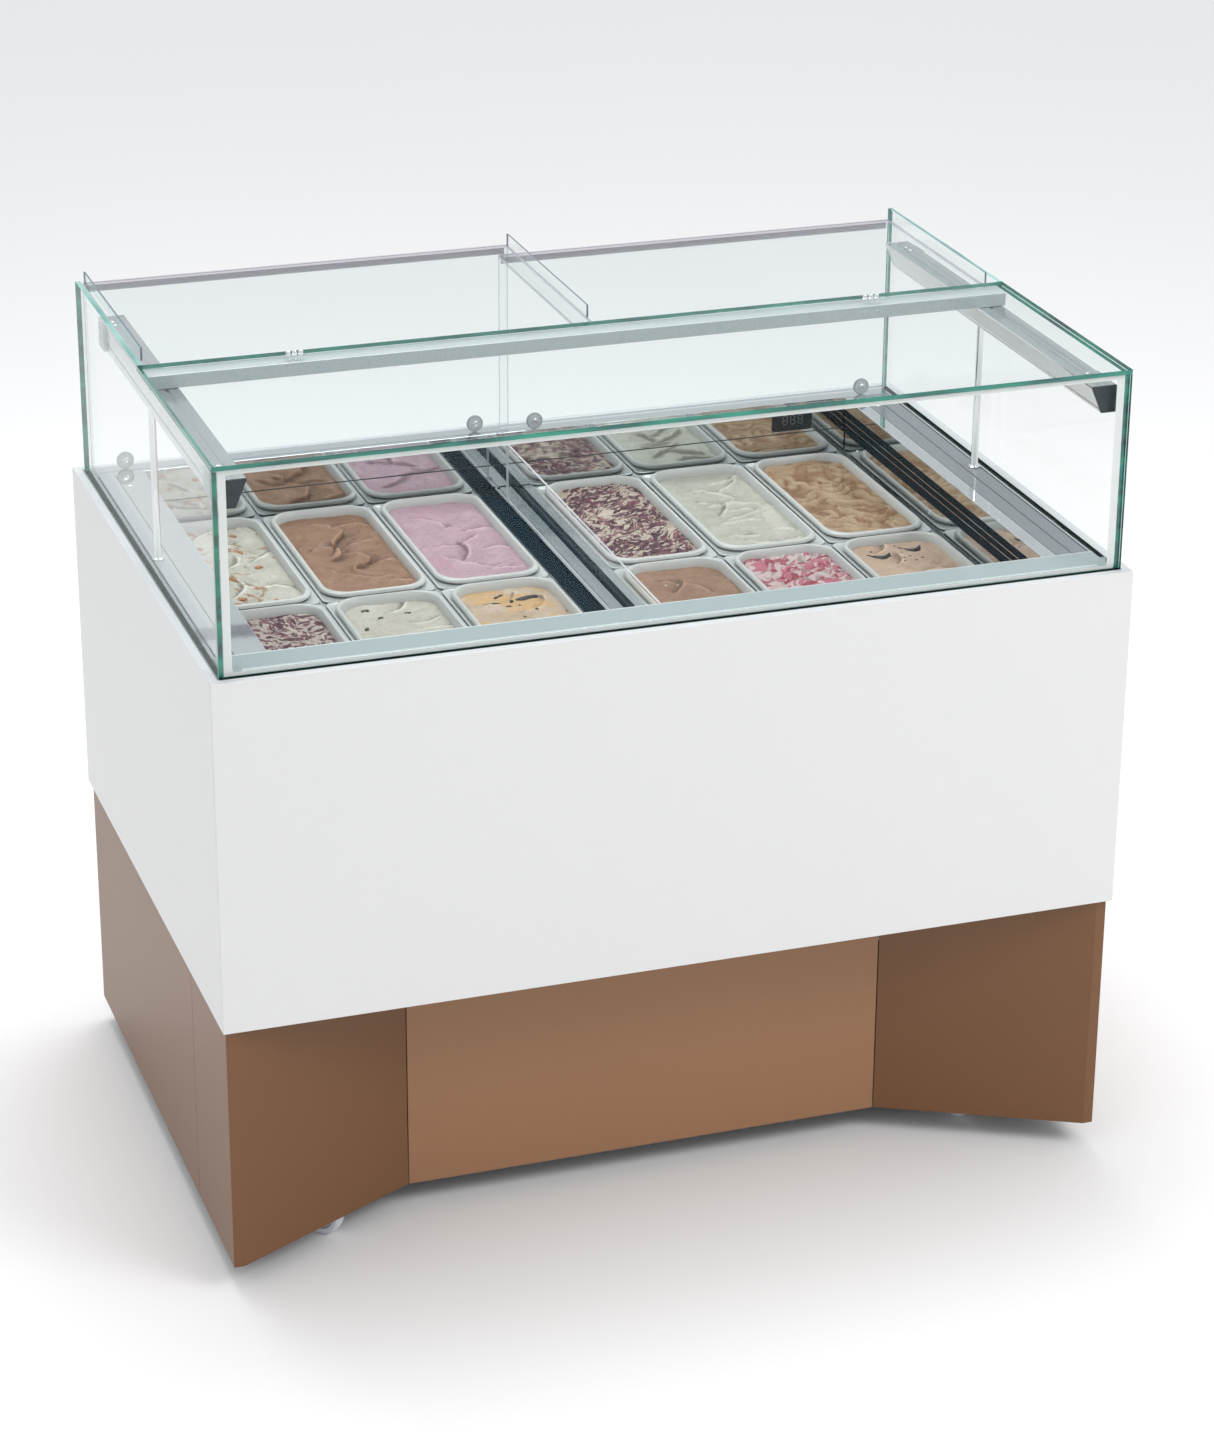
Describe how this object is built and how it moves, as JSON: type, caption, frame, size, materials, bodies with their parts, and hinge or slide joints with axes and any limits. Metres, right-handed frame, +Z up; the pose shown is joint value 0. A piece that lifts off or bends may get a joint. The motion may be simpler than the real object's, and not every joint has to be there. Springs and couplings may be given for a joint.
{
  "type": "ice cream dipping cabinet",
  "caption": "Wheeled ice cream dipping cabinet: white body on a brown stepped plinth, two rows of pans under a glass case, and two L-shaped clear doors that slide at the server's side.",
  "frame": {"origin": "centre of the footprint, on the floor under the wheels", "axes": "+X to the customer's right along the front, +Y from the customer's side to the server's side, +Z up"},
  "size_m": [1.29, 0.86, 1.202],
  "materials": {
    "brown_paint": "brown satin metallic powder coat",
    "white_paint": "white satin powder coat",
    "stainless": "polished stainless steel",
    "aluminium": "satin light grey",
    "black_paint": "matt black",
    "dark_plastic": "matt black",
    "foam": "foam core with a polished steel liner",
    "frame_paint": "grey paint on square tube",
    "glass": "clear float glass with green edges",
    "acrylic": "clear acrylic",
    "caster_tread": "pale grey nylon",
    "filled_pan": "steel rim and white tub full of ice cream"
  },
  "bodies": {
    "cabinet": {"plinth_corner_left": "brown_paint", "plinth_corner_right": "brown_paint", "plinth_side_left": "brown_paint", "plinth_side_right": "brown_paint", "plinth_centre_panel": "brown_paint", "plinth_rear_grille": "brown_paint", "power_inlet": "dark_plastic", "temperature_display": "dark_plastic", "base_frame": "frame_paint", "compressor": "black_paint", "condenser": "aluminium", "evaporator": "aluminium", "top_deck": "aluminium", "crossbar": "aluminium", "right_light_profile": "aluminium", "left_light_profile": "aluminium", "front_panel": "white_paint", "rear_panel": "white_paint", "left_side_panel": "white_paint", "right_side_panel": "white_paint", "insulated_tank": "foam", "right_wall_strip": "stainless", "left_wall_strip": "stainless", "pan_frame": "stainless", "centre_bridge": "stainless", "left_post": "stainless", "right_post": "stainless", "centre_divider": "acrylic", "front_glass": "glass", "top_glass": "glass", "left_side_glass": "glass", "right_side_glass": "glass"},
    "left_door_body": {"left_door": "acrylic"},
    "right_door_body": {"right_door": "acrylic"},
    "left_door_roller_outer_body": {"left_door_roller_outer": "acrylic"},
    "left_door_roller_inner_body": {"left_door_roller_inner": "acrylic"},
    "right_door_roller_inner_body": {"right_door_roller_inner": "acrylic"},
    "right_door_roller_outer_body": {"right_door_roller_outer": "acrylic"},
    "front_left_fork_body": {"front_left_caster_fork": "stainless"},
    "front_left_wheel_body": {"front_left_caster_wheel": "caster_tread"},
    "front_right_fork_body": {"front_right_caster_fork": "stainless"},
    "front_right_wheel_body": {"front_right_caster_wheel": "caster_tread"},
    "rear_left_fork_body": {"rear_left_caster_fork": "stainless"},
    "rear_left_wheel_body": {"rear_left_caster_wheel": "caster_tread"},
    "rear_right_fork_body": {"rear_right_caster_fork": "stainless"},
    "rear_right_wheel_body": {"rear_right_caster_wheel": "caster_tread"},
    "condenser_fan_body": {"condenser_fan": "dark_plastic"},
    "power_switch_body": {"power_switch": "dark_plastic"},
    "pan_front_1_body": {"pan_front_1": "filled_pan"},
    "pan_front_2_body": {"pan_front_2": "filled_pan"},
    "pan_front_3_body": {"pan_front_3": "filled_pan"},
    "pan_front_4_body": {"pan_front_4": "filled_pan"},
    "pan_front_5_body": {"pan_front_5": "filled_pan"},
    "pan_front_6_body": {"pan_front_6": "filled_pan"},
    "pan_rear_1_body": {"pan_rear_1": "filled_pan"},
    "pan_rear_2_body": {"pan_rear_2": "filled_pan"},
    "pan_rear_3_body": {"pan_rear_3": "filled_pan"},
    "pan_rear_4_body": {"pan_rear_4": "filled_pan"},
    "pan_rear_5_body": {"pan_rear_5": "filled_pan"},
    "pan_rear_6_body": {"pan_rear_6": "filled_pan"}
  },
  "joints": [
    {"name": "left_door_slide", "type": "slide", "parent": "cabinet", "child": "left_door_body", "axis": [1, 0, 0], "range_m": [0, 0.585]},
    {"name": "right_door_slide", "type": "slide", "parent": "cabinet", "child": "right_door_body", "axis": [1, 0, 0], "range_m": [-0.585, 0]},
    {"name": "left_door_roller_outer_spin", "type": "hinge", "parent": "left_door_body", "child": "left_door_roller_outer_body", "pos_m": [-0.572, 0.401, 0.913], "axis": [0, 1, 0], "continuous": true},
    {"name": "left_door_roller_inner_spin", "type": "hinge", "parent": "left_door_body", "child": "left_door_roller_inner_body", "pos_m": [-0.04, 0.401, 0.913], "axis": [0, 1, 0], "continuous": true},
    {"name": "right_door_roller_inner_spin", "type": "hinge", "parent": "right_door_body", "child": "right_door_roller_inner_body", "pos_m": [0.049, 0.386, 0.913], "axis": [0, 1, 0], "continuous": true},
    {"name": "right_door_roller_outer_spin", "type": "hinge", "parent": "right_door_body", "child": "right_door_roller_outer_body", "pos_m": [0.578, 0.386, 0.913], "axis": [0, 1, 0], "continuous": true},
    {"name": "front_left_caster_swivel", "type": "hinge", "parent": "cabinet", "child": "front_left_fork_body", "pos_m": [-0.497, -0.29, 0.07], "axis": [0, 0, 1], "continuous": true},
    {"name": "front_left_wheel_roll", "type": "hinge", "parent": "front_left_fork_body", "child": "front_left_wheel_body", "pos_m": [-0.48427, -0.30273, 0.03], "axis": [0.7071, 0.7071, 0], "continuous": true},
    {"name": "front_right_caster_swivel", "type": "hinge", "parent": "cabinet", "child": "front_right_fork_body", "pos_m": [0.497, -0.29, 0.07], "axis": [0, 0, 1], "continuous": true},
    {"name": "front_right_wheel_roll", "type": "hinge", "parent": "front_right_fork_body", "child": "front_right_wheel_body", "pos_m": [0.49084, -0.27309, 0.03], "axis": [-0.9397, -0.342, 0], "continuous": true},
    {"name": "rear_left_caster_swivel", "type": "hinge", "parent": "cabinet", "child": "rear_left_fork_body", "pos_m": [-0.497, 0.33, 0.07], "axis": [0, 0, 1], "continuous": true},
    {"name": "rear_left_wheel_roll", "type": "hinge", "parent": "rear_left_fork_body", "child": "rear_left_wheel_body", "pos_m": [-0.48009, 0.33616, 0.03], "axis": [-0.342, 0.9397, 0], "continuous": true},
    {"name": "rear_right_caster_swivel", "type": "hinge", "parent": "cabinet", "child": "rear_right_fork_body", "pos_m": [0.497, 0.33, 0.07], "axis": [0, 0, 1], "continuous": true},
    {"name": "rear_right_wheel_roll", "type": "hinge", "parent": "rear_right_fork_body", "child": "rear_right_wheel_body", "pos_m": [0.48009, 0.33616, 0.03], "axis": [-0.342, -0.9397, 0], "continuous": true},
    {"name": "condenser_fan_spin", "type": "hinge", "parent": "cabinet", "child": "condenser_fan_body", "pos_m": [0.22, 0.312, 0.2425], "axis": [0, 1, 0], "continuous": true},
    {"name": "power_switch_tip", "type": "hinge", "parent": "cabinet", "child": "power_switch_body", "pos_m": [-0.56, 0.424, 0.651], "axis": [1, 0, 0], "range_deg": [-6, 6]},
    {"name": "pan_front_1_lift", "type": "slide", "parent": "cabinet", "child": "pan_front_1_body", "axis": [0, 0, 1], "range_m": [0, 0.2]},
    {"name": "pan_front_2_lift", "type": "slide", "parent": "cabinet", "child": "pan_front_2_body", "axis": [0, 0, 1], "range_m": [0, 0.2]},
    {"name": "pan_front_3_lift", "type": "slide", "parent": "cabinet", "child": "pan_front_3_body", "axis": [0, 0, 1], "range_m": [0, 0.2]},
    {"name": "pan_front_4_lift", "type": "slide", "parent": "cabinet", "child": "pan_front_4_body", "axis": [0, 0, 1], "range_m": [0, 0.2]},
    {"name": "pan_front_5_lift", "type": "slide", "parent": "cabinet", "child": "pan_front_5_body", "axis": [0, 0, 1], "range_m": [0, 0.2]},
    {"name": "pan_front_6_lift", "type": "slide", "parent": "cabinet", "child": "pan_front_6_body", "axis": [0, 0, 1], "range_m": [0, 0.2]},
    {"name": "pan_rear_1_lift", "type": "slide", "parent": "cabinet", "child": "pan_rear_1_body", "axis": [0, 0, 1], "range_m": [0, 0.2]},
    {"name": "pan_rear_2_lift", "type": "slide", "parent": "cabinet", "child": "pan_rear_2_body", "axis": [0, 0, 1], "range_m": [0, 0.2]},
    {"name": "pan_rear_3_lift", "type": "slide", "parent": "cabinet", "child": "pan_rear_3_body", "axis": [0, 0, 1], "range_m": [0, 0.2]},
    {"name": "pan_rear_4_lift", "type": "slide", "parent": "cabinet", "child": "pan_rear_4_body", "axis": [0, 0, 1], "range_m": [0, 0.2]},
    {"name": "pan_rear_5_lift", "type": "slide", "parent": "cabinet", "child": "pan_rear_5_body", "axis": [0, 0, 1], "range_m": [0, 0.2]},
    {"name": "pan_rear_6_lift", "type": "slide", "parent": "cabinet", "child": "pan_rear_6_body", "axis": [0, 0, 1], "range_m": [0, 0.2]}
  ],
  "couplings": [
    {"joint": "left_door_roller_outer_spin", "follows": "left_door_slide", "rad_per_m": 80},
    {"joint": "left_door_roller_inner_spin", "follows": "left_door_slide", "rad_per_m": 80},
    {"joint": "right_door_roller_inner_spin", "follows": "right_door_slide", "rad_per_m": 80},
    {"joint": "right_door_roller_outer_spin", "follows": "right_door_slide", "rad_per_m": 80}
  ]
}
